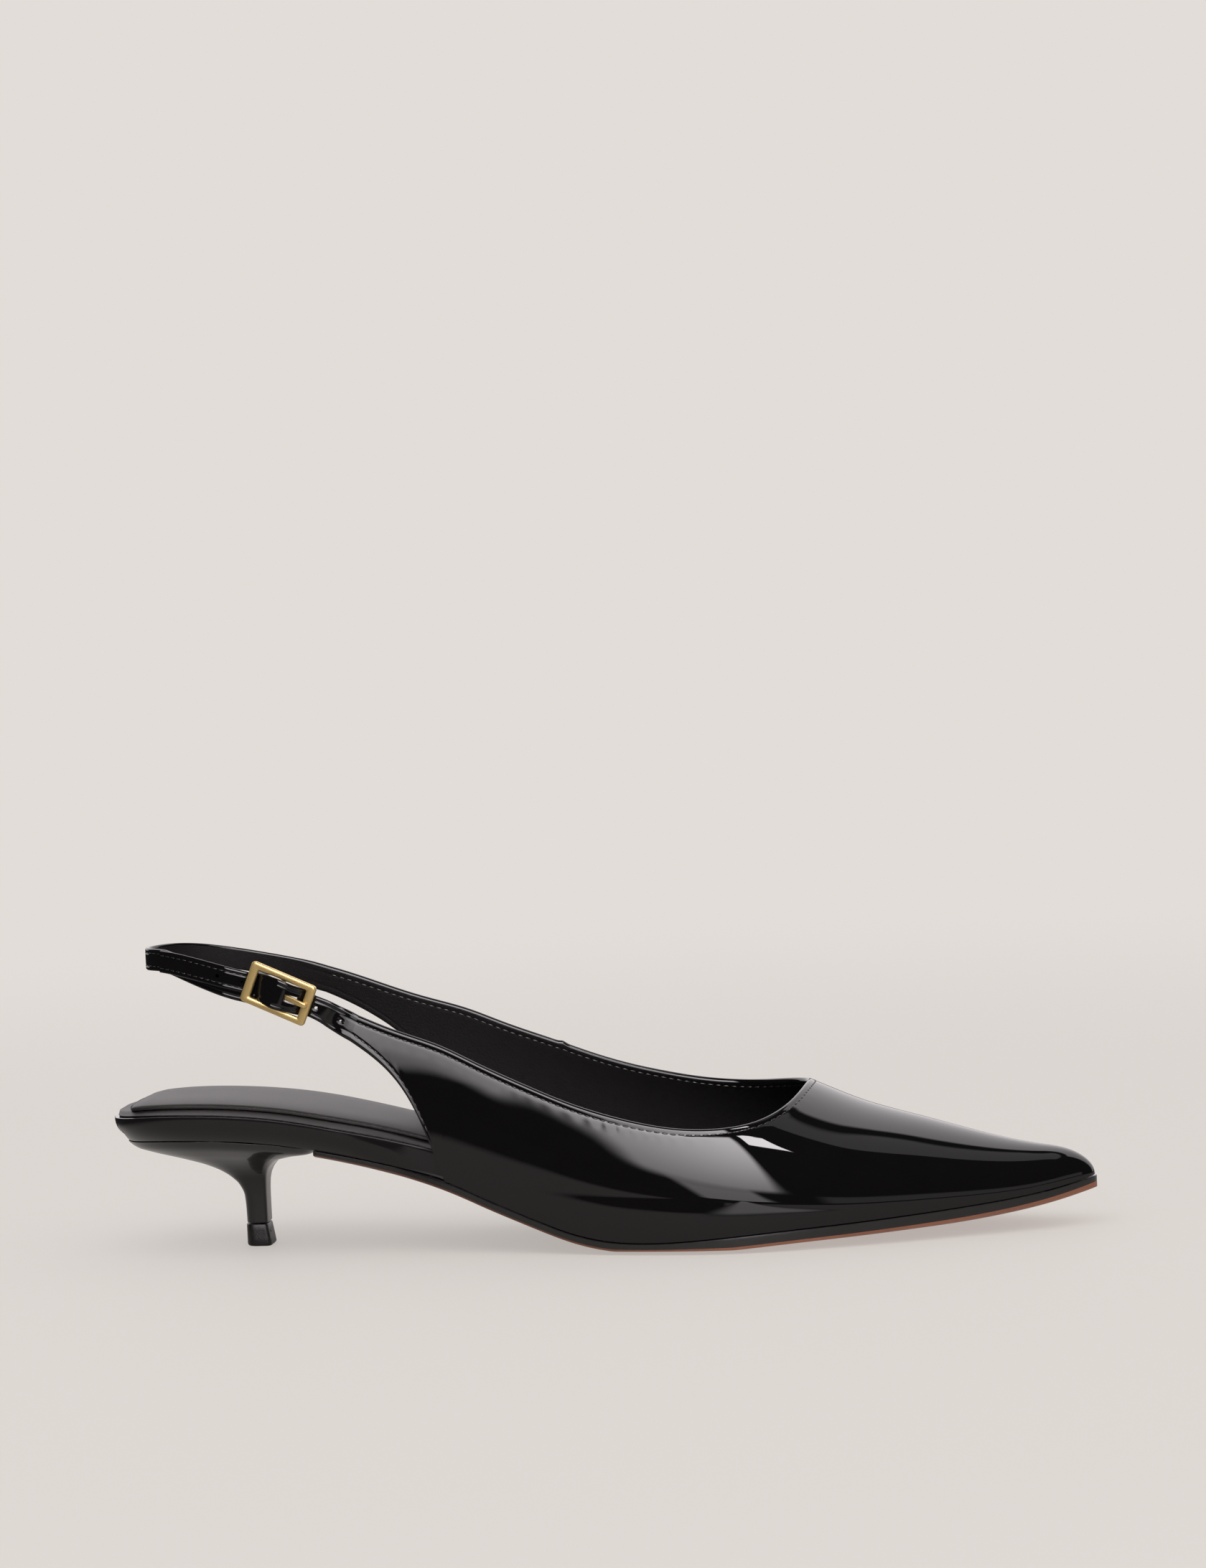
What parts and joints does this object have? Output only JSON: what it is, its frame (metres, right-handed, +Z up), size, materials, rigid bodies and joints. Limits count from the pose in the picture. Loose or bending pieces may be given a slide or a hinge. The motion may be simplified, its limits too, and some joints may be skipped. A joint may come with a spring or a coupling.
{
  "type": "slingback pump",
  "caption": "Right slingback pump with a long pointed toe, low kitten heel, open quarters and a narrow heel strap closed by a small rectangular buckle.",
  "frame": {"origin": "under the middle of the shoe's box, on the floor plane that the heel tip and the ball of the sole stand on", "axes": "+X along the shoe towards the toe, +Y towards the inner side of the foot, +Z up; the outer side with the buckle faces -Y"},
  "size_m": [0.2712, 0.0773, 0.0845],
  "materials": {
    "patent_leather": "black patent, mirror gloss",
    "covered_board": "black patent stretched over the seat board",
    "sock_leather": "dark grained lining leather, low sheen",
    "sole_leather": "tan burnished sole leather with a black painted edge",
    "heel_lacquer": "black covered heel, gloss",
    "top_piece_rubber": "black, satin",
    "satin_gold": "satin gold plate"
  },
  "bodies": {
    "root": {"upper": "patent_leather", "insole_board": "covered_board", "insole_sock": "sock_leather", "heel_pad": "sock_leather", "outsole": "sole_leather", "heel": "heel_lacquer", "top_piece": "top_piece_rubber", "sling_strap": "patent_leather", "buckle_strap": "patent_leather", "buckle_frame": "satin_gold", "buckle_prong": "satin_gold"}
  },
  "joints": []
}
